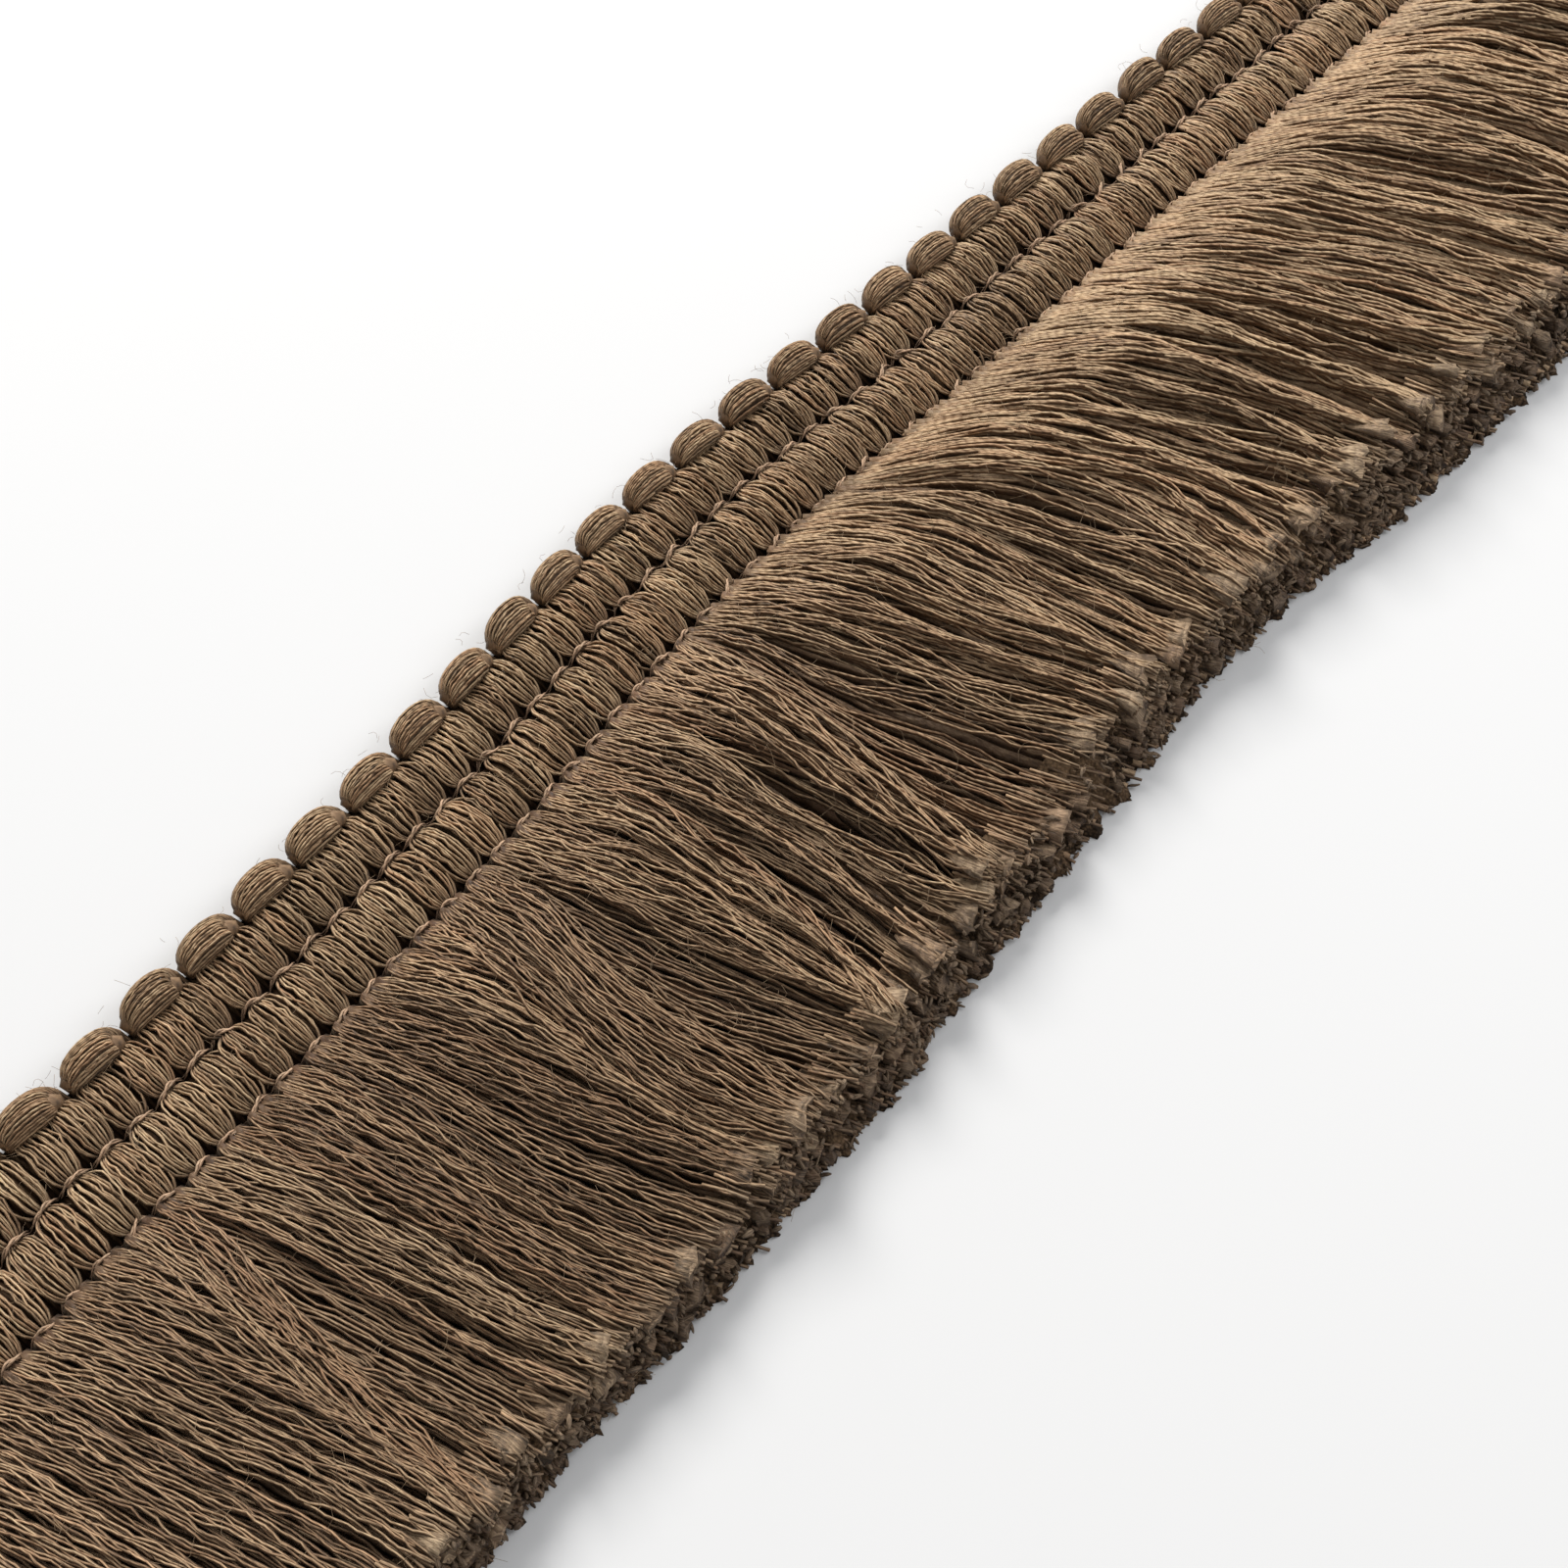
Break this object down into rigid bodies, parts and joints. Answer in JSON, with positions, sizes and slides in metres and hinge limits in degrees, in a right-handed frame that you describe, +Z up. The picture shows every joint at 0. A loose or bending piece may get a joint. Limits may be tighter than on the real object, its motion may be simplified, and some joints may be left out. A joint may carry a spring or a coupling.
{
  "type": "brush fringe trim",
  "caption": "Cut length of flat brush fringe trim with a beaded loop edge, a woven two-row heading and a thick cut-yarn fringe.",
  "frame": {"origin": "middle of the trim's bounding box, at the surface it lies on", "axes": "+X along the length of the trim, -Y from the beaded edge towards the cut end of the fringe, +Z up from the flat underside to the face"},
  "size_m": [0.2448, 0.058, 0.0063],
  "materials": {
    "loop_yarn": "soft twisted yarn, matte with a slight sheen",
    "heading_yarn": "soft twisted yarn bound by fine stitches, matte with a slight sheen",
    "fringe_yarn": "soft twisted yarn, cut at the end, matte with a slight sheen"
  },
  "bodies": {
    "root": {"loop_edge": "loop_yarn", "heading": "heading_yarn", "fringe": "fringe_yarn"}
  },
  "joints": []
}
